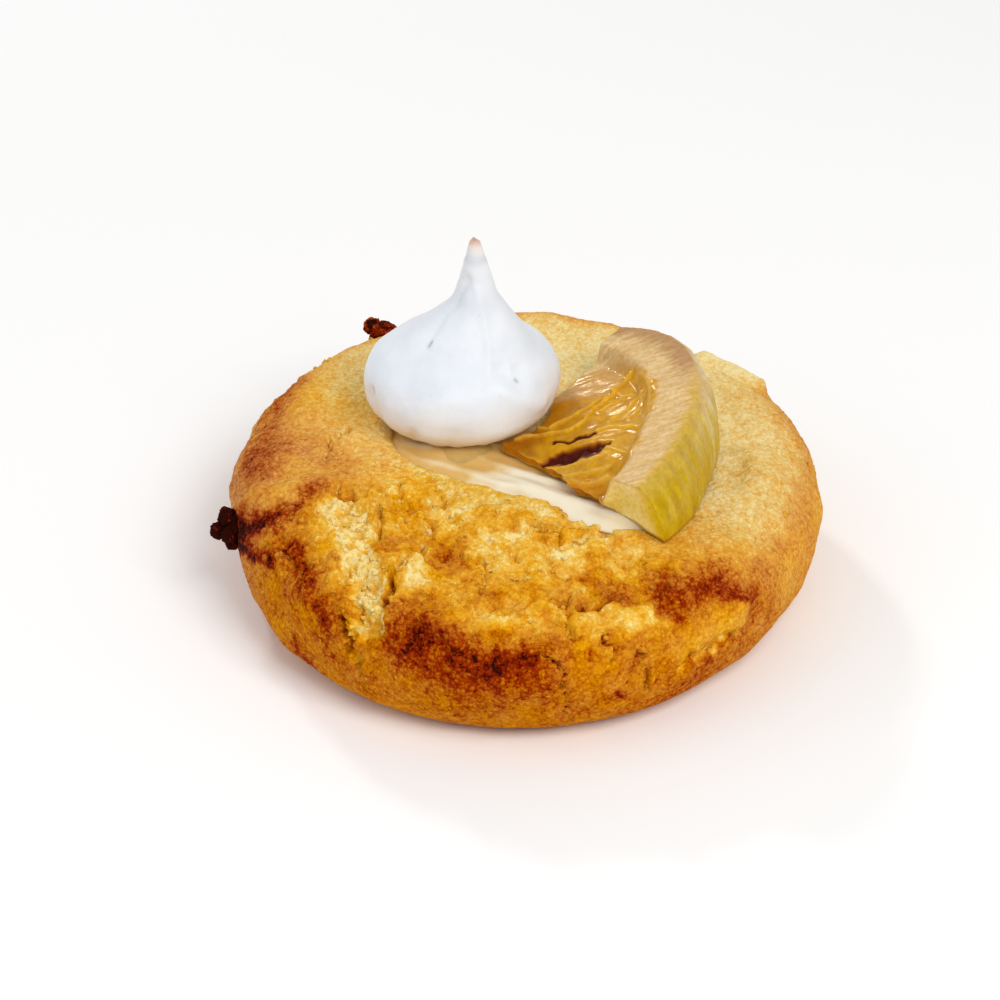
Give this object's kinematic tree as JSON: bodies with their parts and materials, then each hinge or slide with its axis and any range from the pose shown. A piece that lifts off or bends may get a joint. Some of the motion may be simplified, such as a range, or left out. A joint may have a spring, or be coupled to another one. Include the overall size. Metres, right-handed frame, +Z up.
{
  "type": "meringue-topped cookie",
  "caption": "Thick round soft cookie with a cracked golden crust, a pool of cream, a meringue kiss and a candied citrus wedge on top.",
  "frame": {"origin": "under the middle of the bounding box, on the surface that the cookie stands on", "axes": "+Z up, out of the top that carries the meringue; +X towards the citrus wedge; -Y the cracked front"},
  "size_m": [0.078, 0.0778, 0.0446],
  "materials": {
    "crust": "baked crust, golden to dark brown, dry crumb with cracks",
    "cream": "wet ivory cream, glossy",
    "meringue": "dry baked meringue, cool white, satin",
    "citrus": "candied, translucent amber flesh, beige pith, yellow-green rind, sticky gloss"
  },
  "bodies": {
    "root": {"cookie": "crust", "cream": "cream", "meringue": "meringue", "candied_citrus": "citrus"}
  },
  "joints": []
}
